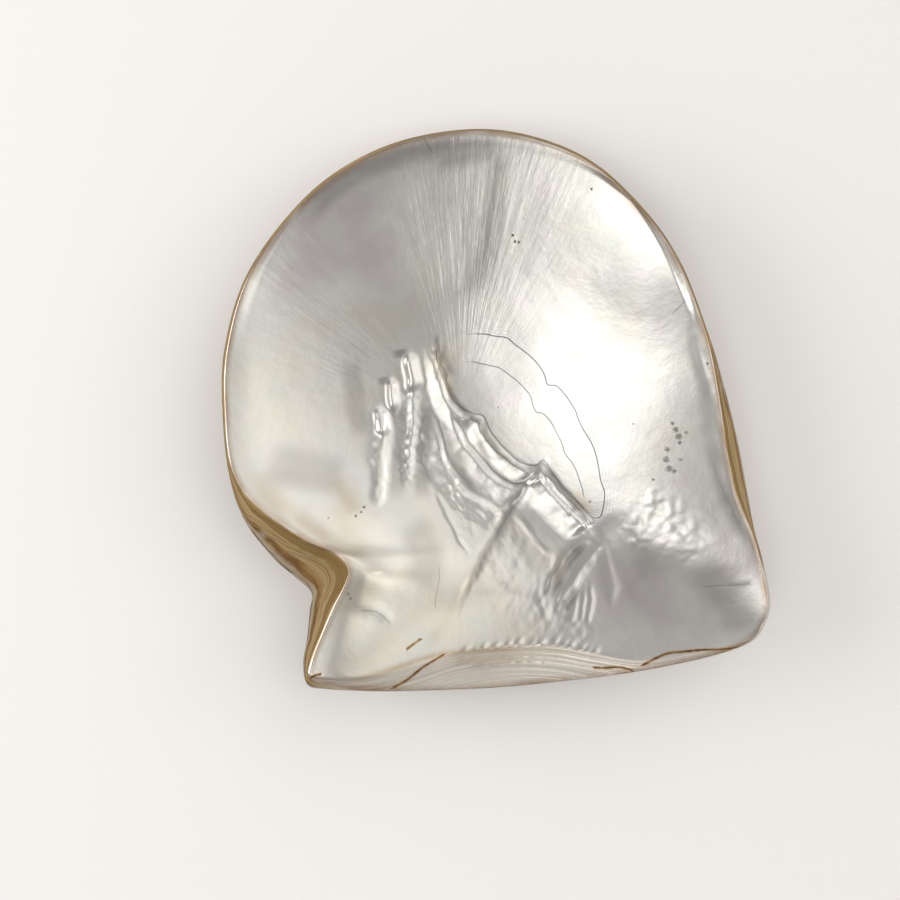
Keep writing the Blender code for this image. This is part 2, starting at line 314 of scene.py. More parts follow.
# Beads of nacre along the crest above the ligament: picture pixel, turn of the long side, and height.
beadSize = {"length": 1.4, "width": 0.75}  # half sizes in mm
beadChance = np.random.default_rng(12)
beads = []
beadRows = [
    ([(462, 652), (510, 645), (560, 643), (595, 651)], 0.40, 14),  # line, height in mm, how many
    ([(472, 665), (510, 661), (560, 662)], 0.22, 10),
]
for crestPixels, tall, count in beadRows:
    for share in np.linspace(0.02, 0.98, count) + beadChance.uniform(-0.015, 0.015, count):
        at = through(crestPixels, np.array([share * (len(crestPixels) - 1)]))[0]
        beads.append((at[0], at[1] + beadChance.uniform(-1.5, 1.5), beadChance.uniform(0.55, 0.95),
                      tall * beadChance.uniform(0.6, 1.3)))

# Low swells of the hollow: x, y, radius and rise in mm.
swells = [
    (31.0, 14.0, 15.0, 1.2),  # beyond the scar, which tilts the scar towards the notch
    (-57.0, -68.0, 10.0, 0.8),  # floor of the ear
    (4.0, 18.0, 9.0, 0.6),  # within the scar
]
# The far margin dips inwards at once. In mm: how deep, the circle that the dip follows, and how far in
# from it the dip is full and gone.
farDip = {"depth": 1.5, "middleX": -6.0, "radius": 86.5, "full": 15.0, "gone": 48.0}


def insideHeight(x, y, u, v):
    floor = -valve["insideDepth"] * hollow(u, v, **valve["insideFall"])
    inland = eased(1.0, 0.93, np.maximum(np.abs(u), np.abs(v)))  # no relief at the very lip
    relief = np.zeros(len(x))
    # ridges and terraces wander a little, as grown forms do
    wx = x + 0.5 * wobble(x, y, 5.0, 3) + 0.2 * wobble(x, y, 1.9, 5)
    wy = y + 0.5 * wobble(x, y, 5.0, 4) + 0.2 * wobble(x, y, 1.9, 6)
    for line, rise, left, right in ridges:
        addRidge(relief, wx, wy, fromPicture(line), rise, left, right)
    for line, rise, step, shelf in terraces:
        addTerrace(relief, wx, wy, fromPicture(line), rise, step, shelf)
    for line, rise, size, width in crumbs:
        near, across, share = lineField(x, y, fromPicture(line), 2.5 * width)
        fade = eased(0, 0.15, share) * eased(0, 0.15, 1 - share) * np.exp(-((across / width) ** 2))
        grain = wobble(x[near], y[near], size, 8) + 0.6 * wobble(x[near], y[near], size / 2, 9)
        relief[near] += rise * fade * grain
    for px, py, turn, rise in beads:
        (beadX, beadY), = fromPicture([(px, py)])
        along = (x - beadX) * math.cos(turn) + (y - beadY) * math.sin(turn)
        aside = (y - beadY) * math.cos(turn) - (x - beadX) * math.sin(turn)
        shape = -((along / beadSize["length"]) ** 2) - (aside / beadSize["width"]) ** 2
        relief += rise * np.exp(shape)
    for swellX, swellY, radius, rise in swells:
        relief += rise * np.exp(-((x - swellX) ** 2 + (y - swellY) ** 2) / 2 / radius**2)
    fromFar = np.maximum(0, farDip["radius"] - np.hypot(x - farDip["middleX"], y))
    dip = eased(-4, farDip["full"], fromFar) * (1 - eased(farDip["full"], farDip["gone"], fromFar))
    relief -= farDip["depth"] * dip * eased(15, 45, y)
    relief += 0.05 * wobble(x, y, 11.0, 21) + 0.018 * wobble(x, y, 4.0, 22)  # uneven all over
    return floor + relief * inland - stripFall(x, y)


# Growth steps of the outside: where each lies on the way from the beak to the margin, and its height.
growth = {
    "beak": (-27.0, -80.0),
    "steps": [0.0, 0.16, 0.29, 0.40, 0.51, 0.60, 0.69, 0.77, 0.84, 0.905, 0.96],
    "height": 1.1,
}


def growthShare(x, y):
    beakX, beakY = growth["beak"]
    rim = np.vstack([marginSide(side, np.linspace(0, 1, 100, endpoint=False)) for side in range(4)])
    rimAngle = np.arctan2(rim[:, 1] - beakY, rim[:, 0] - beakX)
    rimReach = np.hypot(rim[:, 0] - beakX, rim[:, 1] - beakY)
    angle = np.arctan2(y - beakY, x - beakX)
    reach = np.interp(angle, rimAngle, rimReach, period=2 * math.pi)
    wander = 0.010 * np.sin(5 * angle + 1.0) + 0.007 * np.sin(11 * angle)
    return np.hypot(x - beakX, y - beakY) / reach + wander


def growthRelief(x, y):
    share = growthShare(x, y)
    rise = np.zeros(len(x))
    for low, high in zip(growth["steps"][:-1], growth["steps"][1:]):
        inside = (share >= low) & (share < high)
        rise = np.where(inside, ((share - low) / (high - low)) ** 2, rise)
    return growth["height"] * rise * eased(1.0, 0.9, share)


# The edge goes down from the lip in thin layers: share of the way out, share of the way down.
edgeSteps = [
    (0.0, 0.0), (0.05, 0.09), (0.12, 0.17), (0.22, 0.22), (0.31, 0.27), (0.34, 0.37), (0.38, 0.45),
    (0.48, 0.49), (0.57, 0.54), (0.60, 0.62), (0.64, 0.69), (0.74, 0.72), (0.83, 0.76), (0.86, 0.84),
    (0.90, 0.90), (0.96, 0.95), (1.0, 1.0),
]


def valvePoints(u, v, w):
    xOut, yOut, xLip, yLip, wall = marginPatch(u, v).T
    inside = insideHeight(xLip, yLip, u, v)
    edgeOut = -stripFall(xLip, yLip) * eased(-0.75, -1.0, v) - wall
    floor = valve["outsideDepth"] * hollow(u, v, **valve["outsideFall"])
    within = eased(1.0, 0.95, np.maximum(np.abs(u), np.abs(v)))
    outside = edgeOut - floor - growthRelief(xOut, yOut) * within
    rows = np.linspace(0, 1, len(edgeSteps))
    outShare = np.interp((1 - w) / 2, rows, [step[0] for step in edgeSteps])
    fallShare = np.interp((1 - w) / 2, rows, [step[1] for step in edgeSteps])
    return np.column_stack([
        xLip + (xOut - xLip) * outShare,
        yLip + (yOut - yLip) * outShare,
        inside + (outside - inside) * fallShare,
    ])


def laidDown(points):
    a = -math.radians(valve["leanToFar"])
    b = -math.radians(valve["leanToNotch"])
    aboutX = np.array([[1, 0, 0], [0, math.cos(a), -math.sin(a)], [0, math.sin(a), math.cos(a)]])
    aboutY = np.array([[math.cos(b), 0, math.sin(b)], [0, 1, 0], [-math.sin(b), 0, math.cos(b)]])
    points = points @ (aboutY @ aboutX).T - np.array(valve["laidAt"])
    return np.clip(points, np.array(cadBox[0]) / mm, np.array(cadBox[1]) / mm)


def crowded(value, cells):
    # cells holds the size of a cell at stations from -1 to 1
    at = np.linspace(-1, 1, 2001)
    count = np.cumsum(1 / np.interp(at, *np.array(cells).T))
    return np.interp(value, 2 * (count - count[0]) / (count[-1] - count[0]) - 1, at)


def pickEdges(mesh, upright):
    bpy.ops.mesh.select_all(action="DESELECT")
    bpy.ops.object.mode_set(mode="OBJECT")
    for edge in mesh.edges:
        a, b = (mesh.vertices[i].co for i in edge.vertices)
        edge.select = (abs(a.z - b.z) > 0.01) == upright
    bpy.ops.object.mode_set(mode="EDIT")


def makeValve():
    bpy.ops.object.select_all(action="DESELECT")
    bpy.ops.mesh.primitive_cube_add(size=2)
    piece = bpy.context.object
    piece.name = "valve_shell"
    bpy.ops.object.mode_set(mode="EDIT")
    bpy.ops.mesh.select_mode(type="EDGE")
    pickEdges(piece.data, upright=True)  # upright edges first, because it is far quicker
    bpy.ops.mesh.subdivide(number_cuts=valve["edgeRows"] - 1)
    pickEdges(piece.data, upright=False)
    bpy.ops.mesh.subdivide(number_cuts=valve["cells"] // 2 - 1)
    pickEdges(piece.data, upright=False)
    bpy.ops.mesh.subdivide(number_cuts=1)
    bpy.ops.object.mode_set(mode="OBJECT")
    mesh = piece.data
    box = np.zeros(len(mesh.vertices) * 3)
    mesh.vertices.foreach_get("co", box)
    box = box.reshape(-1, 3)
    # each point of the cube stands for a place across, along and down the valve
    u = crowded(box[:, 0], valve["sideCells"])
    v = crowded(box[:, 1], valve["lengthCells"])
    points = laidDown(valvePoints(u, v, box[:, 2])) * mm
    mesh.vertices.foreach_set("co", points.ravel())
    mesh.update()
    bpy.ops.object.shade_smooth()
    print("valve:", len(mesh.polygons), "faces")
    return piece, box, u, v


shell, shellBox, shellU, shellV = makeValve()
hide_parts("valve")
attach(shell, "root")


farFromLines = 9.0  # mm, the distance given where no line is near


def signedLine(x, y, line, taper=0.12):
    # distance in mm from a thin line, with its sign, kept away from nought past its ends
    near, across, share = lineField(x, y, fromPicture(line), 1000)
    fade = eased(0, taper, share) * eased(0, taper, 1 - share)
    value = np.sign(across) * (np.abs(across) + 3 * (1 - fade) ** 2)
    return np.where((share > 0.001) & (share < 0.999), value, farFromLines)


# Thin lines on the nacre, in picture pixels.
scarLines = [
    [(452, 334), (470, 333), (484, 333), (493, 335), (506, 337), (513, 343), (524, 351), (534, 360),
     (541, 369), (544, 375), (547, 384), (555, 385), (561, 390), (568, 399), (575, 410), (578, 419),
     (584, 431), (591, 442), (596, 455), (599, 469), (601, 481), (605, 494), (604, 507), (601, 518),
     (593, 519), (585, 513)],
    [(452, 362), (470, 361), (481, 363), (490, 365), (498, 367), (508, 374), (517, 381), (524, 388),
     (530, 396), (532, 404), (536, 412), (542, 413), (550, 421), (557, 434), (562, 444), (565, 454),
     (572, 463), (577, 473), (580, 482), (583, 491), (584, 499), (588, 508)],
]
scarFoot = [(436, 343), (434, 355), (439, 372), (446, 390), (453, 402), (470, 413), (482, 416), (490, 432),
            (505, 450), (520, 463), (536, 466), (544, 461), (557, 480), (574, 498), (590, 518)]
cracks = [
    [(748, 643), (722, 648), (700, 649), (680, 651), (664, 653), (652, 658), (643, 663), (634, 667)],
    [(588, 668), (605, 668), (618, 667), (632, 671)],
    [(306, 679), (314, 674), (324, 672)],
    [(386, 691), (396, 685), (406, 679), (420, 668), (433, 660), (447, 652)],
    [(402, 651), (411, 645), (421, 638)],
]
scratches = [
    [(698, 588), (715, 586), (732, 585), (750, 583)],
    [(668, 316), (677, 307), (687, 296)],
    [(420, 133), (424, 145), (432, 156)],
    [(356, 610), (372, 611), (382, 617), (389, 625)],
    [(436, 566), (437, 580), (434, 596), (432, 612)],
]
# Dark grains and pits: picture pixel, radius in mm and how dark.
specks = [
    (511, 235, 0.6, 0.95), (513, 241, 0.6, 0.95), (517, 242, 0.6, 0.95), (589, 191, 0.5, 0.9),
    (703, 365, 0.5, 0.8), (653, 480, 0.5, 0.8), (658, 447, 0.3, 0.8), (722, 445, 0.4, 0.8),
    (353, 517, 0.7, 0.8), (358, 513, 0.5, 0.8), (361, 508, 0.6, 0.8), (326, 519, 0.5, 0.7),
    (590, 503, 0.5, 0.8), (497, 407, 0.4, 0.6), (633, 424, 0.5, 0.6), (347, 593, 0.7, 0.45),
    (349, 598, 0.6, 0.45), (671, 424, 0.9, 0.7), (674, 430, 1.2, 0.7), (677, 437, 1.4, 0.65),
    (678, 443, 0.8, 0.7), (684, 433, 0.7, 0.5), (666, 450, 1.0, 0.7), (665, 460, 1.3, 0.65),
    (668, 469, 1.4, 0.65), (673, 472, 0.9, 0.7), (679, 460, 0.7, 0.5),
]
# Darker bands, partly where the muscle layer comes through the nacre and partly painted shade beside folds,
# terraces, mantle scars and the far margin: line in picture pixels, strength and half width in mm.
dullAndShadeBands = [
    ([(434, 350), (441, 374), (452, 399), (468, 417), (480, 423), (486, 438), (502, 458), (522, 471),
      (541, 467)], 0.75, 1.0),
    ([(470, 424), (478, 444), (485, 459), (494, 471), (508, 482), (524, 481), (541, 468)], 0.75, 0.9),
    ([(545, 466), (556, 482), (574, 503), (590, 521)], 0.8, 1.4),
    ([(514, 512), (528, 528), (541, 548), (553, 555)], 0.45, 0.9),
    ([(541, 468), (530, 482), (511, 508), (497, 530), (481, 559), (466, 588), (455, 613)], 0.55, 0.9),
    ([(432, 400), (441, 432), (452, 458), (466, 482), (484, 500)], 0.5, 2.3),
    ([(588, 541), (571, 560), (558, 580), (545, 605)], 0.8, 1.5),
    ([(580, 588), (569, 602), (560, 615)], 0.6, 1.3),
    ([(396, 400), (394, 450), (394, 505)], 0.40, 2.2),
    ([(423, 400), (421, 450), (419, 505)], 0.45, 2.2),
    ([(398, 348), (400, 356)], 0.6, 2.0),
    ([(380, 376), (382, 384)], 0.5, 1.6),
    ([(628, 528), (640, 552), (652, 585)], 0.22, 3.5),
    ([(345, 355), (352, 400), (360, 440)], 0.35, 3.0),
    ([(722, 585), (735, 584), (749, 582)], 0.6, 0.8),
    ([(690, 560), (728, 600), (742, 632)], 0.35, 5.5),
    ([(352, 575), (357, 600), (350, 618)], 0.18, 4.0),
    ([(262, 458), (305, 470), (345, 478)], 0.28, 5.5),
    ([(430, 160), (465, 154), (500, 150)], 0.40, 3.6),
    ([(292, 232), (340, 184), (410, 155), (480, 146)], 0.45, 3.2),
    ([(432, 332), (440, 352), (452, 378)], 0.35, 1.0),
    ([(500, 140), (494, 190), (486, 245), (462, 305)], 0.38, 3.2),
    ([(404, 520), (425, 560), (410, 590)], 0.35, 5.0),
    ([(682, 338), (698, 375), (706, 430), (722, 496), (746, 546)], 0.26, 2.2),
    ([(706, 452), (722, 496), (745, 545)], 0.45, 0.7),
]
# Where the nacre leans to cream (above nought) or to mauve (below): picture pixel, radius in mm, amount.
tints = [
    (270, 400, 16.0, 0.8), (410, 570, 18.0, 0.7), (345, 645, 14.0, 0.8), (490, 600, 16.0, 0.5),
    (390, 320, 9.0, 0.3), (450, 670, 20.0, 0.4), (440, 355, 4.0, 0.9),
    (345, 225, 13.0, -0.6), (380, 265, 9.0, -0.6), (300, 260, 9.0, -0.5), (430, 160, 10.0, -0.2),
    (410, 300, 9.0, 0.5),
    (670, 590, 18.0, -0.35), (620, 570, 7.0, -0.7), (720, 520, 8.0, -0.4), (708, 400, 6.0, -0.6),
    (590, 480, 9.0, -0.3), (620, 625, 9.0, -0.4),
]
# Soft stains on the nacre: line in picture pixels, strength and width in mm.
stains = [
    ([(330, 478), (344, 500), (352, 516)], 0.42, 3.6),
    ([(250, 480), (285, 512), (325, 536), (350, 552)], 0.42, 3.4),
    ([(320, 510), (345, 530), (362, 560)], 0.40, 4.5),
    ([(318, 678), (360, 677), (400, 666), (440, 655), (500, 651), (580, 652)], 0.60, 1.0),
    ([(450, 660), (480, 662), (520, 660)], 0.35, 2.2),
    ([(318, 686), (360, 688), (420, 688)], 0.35, 2.0),
    ([(436, 345), (440, 370), (450, 395)], 0.4, 1.6),
    ([(428, 645), (450, 612), (478, 566)], 0.22, 2.0),
    ([(575, 492), (592, 515)], 0.35, 1.4),
    ([(366, 560), (372, 585), (352, 600)], 0.25, 4.0),
]


def lipDistance(x, y):
    # distance in mm from the nacre's lip
    rim = np.vstack([marginSide(side, np.linspace(0, 1, 90, endpoint=False)) for side in range(4)])[:, 2:4]
    near = np.full(len(x), 1e9)
    for start, end in zip(rim, np.roll(rim, -1, axis=0)):
        way = end - start
        t = np.clip(((x - start[0]) * way[0] + (y - start[1]) * way[1]) / (way @ way), 0, 1)
        near = np.minimum(near, np.hypot(x - start[0] - t * way[0], y - start[1] - t * way[1]))
    return near


def addAttribute(mesh, name, values, kind="FLOAT"):
    attribute = mesh.attributes.new(name, kind, "POINT")
    socket = "value" if kind == "FLOAT" else "vector"
    attribute.data.foreach_set(socket, values.astype(np.float32).ravel())


# The streaks fan out from the scar: the picture pixel they start from, and sectors with their middle and
# half width in degrees from +X and their strength. Between the sectors they are faint.
streaks = {
    "start": (458, 420),
    "sectors": [(86, 26, 1.0), (150, 22, 0.45), (-75, 30, 0.30)],
    "between": 0.12,
    "begin": 14,  # mm from the start
    "full": 36,
}
(streakX, streakY), = fromPicture([streaks["start"]])
closeToLines = (2.5, 1.2)  # mm, where a line's own colour starts and where it may be full


def markZones(mesh):
    # attributes that the materials read, and which material each face has
    xOut, yOut, x, y, wall = marginPatch(shellU, shellV).T
    w = shellBox[:, 2]
    top = w > 0.999
    few = {"x": x[top], "y": y[top]}

    def onNacre(name, values, elsewhere=0.0):
        full = np.full(len(w), elsewhere)
        full[top] = values
        addAttribute(mesh, name, full)
        if elsewhere:
            addAttribute(mesh, name + "Near", eased(*closeToLines, np.abs(full)))

    addAttribute(mesh, "onFace", np.column_stack([x, y, 0 * x]) * mm, "FLOAT_VECTOR")
    for i, line in enumerate(scarLines):
        onNacre(f"scarLine{i}", signedLine(line=line, taper=0.08, **few), farFromLines)
    onNacre("scarFoot", signedLine(line=scarFoot, taper=0.05, **few), farFromLines)
    for name, group in (("crack", cracks), ("scratch", scratches)):
        fields = np.array([signedLine(line=line, **few) for line in group])
        nearest = np.abs(fields).argmin(axis=0)
        onNacre(name, fields[nearest, np.arange(len(nearest))], farFromLines)
    # darkening of the nacre in bands: partly the muscle layer coming through, partly painted shade beside
    # the relief and at the far margin
    dullAndShade = np.zeros(top.sum())
    wx = few["x"] + 0.4 * wobble(x=few["x"], y=few["y"], size=3.0, seed=31)
    for line, strength, width in dullAndShadeBands:
        near, across, share = lineField(wx, few["y"], fromPicture(line), 2.5 * width)
        fade = eased(0, 0.25, share) * eased(0, 0.25, 1 - share)
        band = strength * fade * (1 - eased(0.4 * width, 1.6 * width, np.abs(across)))
        dullAndShade[near] = np.maximum(dullAndShade[near], band)
    onNacre("dullAndShade", dullAndShade)
    stain = np.zeros(top.sum())
    for line, strength, width in stains:
        near, across, share = lineField(line=fromPicture(line), reach=3 * width, **few)
        fade = 0.3 + 0.7 * eased(0, 0.2, share) * eased(0, 0.2, 1 - share)
        stain[near] = np.maximum(stain[near], strength * fade * np.exp(-((across / width) ** 2)))
    onNacre("stain", stain)
    onNacre("fromLip", lipDistance(**few))
    tint = np.zeros(len(w))
    for px, py, radius, amount in tints:
        (spotX, spotY), = fromPicture([(px, py)])
        tint += amount * np.exp(-((x - spotX) ** 2 + (y - spotY) ** 2) / 2 / radius**2)
    addAttribute(mesh, "tint", tint)
    heading = np.degrees(np.arctan2(y - streakY, x - streakX))
    reach = np.hypot(x - streakX, y - streakY)
    sector = np.full(len(w), streaks["between"])
    for middle, half, strength in streaks["sectors"]:
        sector += strength * np.exp(-(((heading - middle) / half) ** 2))
    addAttribute(mesh, "streaky", sector * eased(streaks["begin"], streaks["full"], reach))
    wide, across = stripAcross(x, y)
    addAttribute(mesh, "beyondCrest", wide * across)
    addAttribute(mesh, "downEdge", (1 - w) / 2)
    addAttribute(mesh, "paleRim", eased(58, 66, x) * eased(-44, -52, y))  # far corner of the hinge
    addAttribute(mesh, "edgeDepth", (1 - w) / 2 * np.hypot(np.hypot(xOut - x, yOut - y), wall))
    addAttribute(mesh, "growth", growthShare(xOut, yOut))
    facing = np.zeros(len(mesh.polygons), dtype=np.int32)
    for i, face in enumerate(mesh.polygons):
        heights = w[list(face.vertices)]
        facing[i] = 0 if heights.min() > 0.999 else (2 if heights.max() < -0.999 else 1)
    mesh.polygons.foreach_set("material_index", facing)
    print("zones:", [int((facing == i).sum()) for i in range(3)])


def linear(hexColour):
    # sRGB hex to linear values
    values = [int(hexColour[i:i + 2], 16) / 255 for i in (1, 3, 5)]
    values = [c / 12.92 if c <= 0.04045 else ((c + 0.055) / 1.055) ** 2.4 for c in values]
    return values + [1.0]


def newMaterial(name):
    material = bpy.data.materials.new(name)
    material.use_nodes = True
    return material, material.node_tree, material.node_tree.nodes["Principled BSDF"]


def addNode(tree, kind, settings, inputs):
    made = tree.nodes.new("ShaderNode" + kind)
    for name, value in settings.items():
        setattr(made, name, value)
    for key, value in inputs.items():
        if isinstance(value, bpy.types.NodeSocket):
            tree.links.new(value, made.inputs[key])
        else:
            made.inputs[key].default_value = value
    return made.outputs


# settings that many nodes share
smooth = {"interpolation_type": "SMOOTHSTEP"}
colourMix = {"data_type": "RGBA"}
times = {"operation": "MULTIPLY"}
plus = {"operation": "ADD"}
oneWay = {"noise_dimensions": "1D"}

# Nacre: thin layers of aragonite polished by the animal. It shines like satin metal under a clear skin,
# with pale pink, green and mauve where the layers lie at a slant. Noise scales are counts for each metre.
nacreLook = {
    "base": "#cccac4",
    "green": "#c8cbc2",
    "mauve": "#c4babb",
    "cream": "#d2cbbd",
    # colour of the darker bands: partly the muscle layer, partly painted shade
    "dullAndShade": "#77736c",
    "strip": "#d0c6b8",
    "stain": "#a58a5c",
    "lip": "#a1876f",
    "line": "#5d5f66",
    "growthLine": "#8f8fae",
    "halo": "#b08a4c",
    "crack": "#54351a",
    "speck": "#3f3c36",
    "clouds": 55.0,  # tints in clouds about 18 mm across
    "patches": 90.0,  # patches about 11 mm across
    "dimples": 330.0,  # dimples about 3 mm across with finer ones in them, coarser than real to show
    "ragged": 450.0,  # broken edges of the cracks, about 2 mm
    "shaken": 1500.0,  # uneven outline of the specks, under 1 mm
    "streakTurn": 17.0,  # streaks for each radian round the start
    "streakReach": 24.0,  # breaks in a streak for each metre, about 40 mm apart
    "stripLines": 3.6,  # growth lines of the ligament strip for each mm
    "growthLines": 1.05,  # growth lines beyond the scar for each mm
    "metallic": 0.8,
    "roughness": 0.235,
    "roughnessSpread": 0.03,
    "coat": 0.3,
    "coatRoughness": 0.08,
    "streakDepth": 0.00015,
    "dimpleDepth": 0.00006,
    "stripDepth": 0.0002,
    "thinLines": [  # mark, half width where solid and where gone in mm, strength
        ("scarLine0", 0.10, 0.30, 0.9), ("scarLine1", 0.08, 0.26, 0.8),
        ("scarFoot", 0.08, 0.30, 0.6), ("scratch", 0.06, 0.30, 0.35),
    ],
}


def makeNacre():
    material, tree, shader = newMaterial("polished nacre")
    look = nacreLook
    marks = {}
    for name in ("tint", "dullAndShade", "beyondCrest", "stain", "fromLip", "scarLine0", "scarLine1", "scarFoot",
                 "scratch", "crack", "streaky", "scarLine0Near", "scarLine1Near", "scarFootNear",
                 "scratchNear", "crackNear"):
        marks[name] = addNode(tree, "Attribute", {"attribute_name": name}, {})["Fac"]
    face = addNode(tree, "Attribute", {"attribute_name": "onFace"}, {})["Vector"]
    broad = addNode(tree, "TexNoise", {}, {"Vector": face, "Scale": look["clouds"], "Detail": 3.0})[0]
    fine = addNode(tree, "TexNoise", {}, {"Vector": face, "Scale": look["patches"], "Detail": 1.0})[0]
    patchy = addNode(tree, "MapRange", {}, {0: fine, 1: 0.35, 2: 0.6, 3: 0.5, 4: 1.0})[0]

    # layers of colour, each one over those before it: how much, and which colour
    uneven = addNode(tree, "MapRange", {}, {0: broad, 1: 0.3, 2: 0.7, 3: -0.6, 4: 0.6})[0]
    tint = addNode(tree, "Math", plus, {0: marks["tint"], 1: uneven})[0]
    cream = addNode(tree, "MapRange", {}, {0: tint, 1: 0.0, 2: 1.3, 3: 0.0, 4: 1.0})[0]
    mauve = addNode(tree, "MapRange", {}, {0: tint, 1: 0.0, 2: -1.3, 3: 0.0, 4: 1.0})[0]
    green = addNode(tree, "MapRange", smooth, {0: fine, 1: 0.40, 2: 0.80, 3: 0.0, 4: 0.6})[0]
    onStrip = addNode(tree, "MapRange", {}, {0: marks["beyondCrest"], 1: 0.0, 2: 1.2, 3: 0.0, 4: 0.6})[0]
    stain = addNode(tree, "Math", times, {0: marks["stain"], 1: patchy})[0]
    lip = addNode(tree, "Math", {"operation": "ABSOLUTE"}, {0: marks["fromLip"]})[0]
    lip = addNode(tree, "MapRange", smooth, {0: lip, 1: 0.1, 2: 2.4, 3: 0.85, 4: 0.0})[0]
    lip = addNode(tree, "Math", times, {0: lip, 1: patchy})[0]
    # the dark bands mix in the muscle layer's colour and painted shade
    layers = [(cream, "cream"), (mauve, "mauve"), (green, "green"), (marks["dullAndShade"], "dullAndShade"),
              (onStrip, "strip"), (stain, "stain"), (lip, "lip")]
    for name, solid, gone, strength in look["thinLines"]:
        size = addNode(tree, "Math", {"operation": "ABSOLUTE"}, {0: marks[name]})[0]
        drawn = {0: size, 1: solid, 2: gone, 3: strength, 4: 0.0}
        shown = addNode(tree, "MapRange", smooth, drawn)[0]
        shown = addNode(tree, "Math", times, {0: shown, 1: marks[name + "Near"]})[0]
        layers.append((shown, "line"))

    # faint violet growth lines, about 1 mm apart, just beyond the scar
    beyond = marks["scarLine0"]
    lines = addNode(tree, "Math", times, {0: beyond, 1: look["growthLines"]})[0]
    lines = addNode(tree, "Math", {"operation": "PINGPONG"}, {0: lines, 1: 0.5})[0]
    lines = addNode(tree, "MapRange", smooth, {0: lines, 1: 0.05, 2: 0.2, 3: 0.4, 4: 0.0})[0]
    zone = addNode(tree, "MapRange", smooth, {0: beyond, 1: 0.6, 2: 5.5, 3: 1.0, 4: 0.0})[0]
    outside = addNode(tree, "Math", {"operation": "GREATER_THAN"}, {0: beyond, 1: 0.3})[0]
    for factor in (zone, outside, patchy):
        lines = addNode(tree, "Math", times, {0: lines, 1: factor})[0]
    layers.append((lines, "growthLine"))

    # cracks with ragged edges and a golden halo
    ragged = addNode(tree, "TexNoise", {}, {"Vector": face, "Scale": look["ragged"], "Detail": 3.0})[0]
    ragged = addNode(tree, "MapRange", {}, {0: ragged, 1: 0.3, 2: 0.7, 3: -0.12, 4: 0.12})[0]
    fromCrack = addNode(tree, "Math", {"operation": "ABSOLUTE"}, {0: marks["crack"]})[0]
    fromCrack = addNode(tree, "Math", plus, {0: fromCrack, 1: ragged})[0]
    halo = addNode(tree, "MapRange", smooth, {0: fromCrack, 1: 0.2, 2: 0.8, 3: 0.75, 4: 0.0})[0]
    crack = addNode(tree, "MapRange", smooth, {0: fromCrack, 1: 0.05, 2: 0.30, 3: 1.0, 4: 0.0})[0]
    for factor, name in ((halo, "halo"), (crack, "crack")):
        shown = addNode(tree, "Math", times, {0: factor, 1: marks["crackNear"]})[0]
        layers.append((shown, name))

    # specks and pits
    shaken = addNode(tree, "TexNoise", {}, {"Vector": face, "Scale": look["shaken"], "Detail": 2.0})[1]
    shake = {0: shaken, 1: (0.0016, 0.0012, 0.0), 2: face}
    shaken = addNode(tree, "VectorMath", {"operation": "MULTIPLY_ADD"}, shake)[0]
    shaken = addNode(tree, "VectorMath", {"operation": "SUBTRACT"}, {0: shaken, 1: (0.0008, 0.0006, 0.0)})[0]
    dark = 0.0
    for px, py, radius, strength in specks:
        (x, y), = fromPicture([(px, py)])
        middle = (x * mm, y * mm, 0.0)
        away = addNode(tree, "VectorMath", {"operation": "DISTANCE"}, {0: shaken, 1: middle})["Value"]
        drawn = {0: away, 1: 0.4 * radius * mm, 2: radius * mm, 3: strength, 4: 0.0}
        spot = addNode(tree, "MapRange", smooth, drawn)[0]
        dark = addNode(tree, "Math", {"operation": "MAXIMUM"}, {0: dark, 1: spot})[0]
    layers.append((dark, "speck"))
    colour = linear(look["base"])
    for factor, name in layers:
        colour = addNode(tree, "Mix", colourMix, {0: factor, 6: colour, 7: linear(look[name])})[2]
    tree.links.new(colour, shader.inputs["Base Color"])

    # streaks that fan out from the scar, then dimples, then the lines of the strip
    start = (streakX * mm, streakY * mm, 0.0)
    away = addNode(tree, "VectorMath", {"operation": "SUBTRACT"}, {0: face, 1: start})[0]
    parts = addNode(tree, "SeparateXYZ", {}, {0: away})
    turned = addNode(tree, "Math", {"operation": "ARCTAN2"}, {0: parts[0], 1: parts[1]})[0]
    reach = addNode(tree, "VectorMath", {"operation": "LENGTH"}, {0: away})["Value"]
    ray = addNode(tree, "CombineXYZ", {}, {0: turned, 1: reach, 2: 0.0})[0]
    rayScale = (look["streakTurn"], look["streakReach"], 1.0)
    ray = addNode(tree, "VectorMath", times, {0: ray, 1: rayScale})[0]
    rays = addNode(tree, "TexNoise", {}, {"Vector": ray, "Scale": 1.0, "Detail": 5.0, "Roughness": 0.6})[0]
    rays = addNode(tree, "Math", times, {0: rays, 1: marks["streaky"]})[0]
    dimpled = {"Vector": face, "Scale": look["dimples"], "Detail": 5.0, "Roughness": 0.6}
    dimples = addNode(tree, "TexNoise", {}, dimpled)[0]
    lines = addNode(tree, "Math", times, {0: marks["beyondCrest"], 1: look["stripLines"]})[0]
    lines = addNode(tree, "TexNoise", oneWay, {"W": lines, "Scale": 1.0, "Detail": 3.0})[0]
    lines = addNode(tree, "Math", times, {0: lines, 1: onStrip})[0]
    streaked = {"Strength": 1.0, "Distance": look["streakDepth"], "Height": rays}
    bump = addNode(tree, "Bump", {}, streaked)[0]
    for height, distance in ((dimples, look["dimpleDepth"]), (lines, look["stripDepth"])):
        raised = {"Strength": 1.0, "Distance": distance, "Height": height, "Normal": bump}
        bump = addNode(tree, "Bump", {}, raised)[0]
    tree.links.new(bump, shader.inputs["Normal"])

    least = look["roughness"] - look["roughnessSpread"]
    most = look["roughness"] + look["roughnessSpread"]
    rough = addNode(tree, "MapRange", {}, {0: fine, 1: 0.3, 2: 0.7, 3: least, 4: most})[0]
    tree.links.new(rough, shader.inputs["Roughness"])
    shader.inputs["Metallic"].default_value = look["metallic"]
    shader.inputs["Coat Weight"].default_value = look["coat"]
    shader.inputs["Coat Roughness"].default_value = look["coatRoughness"]
    return material


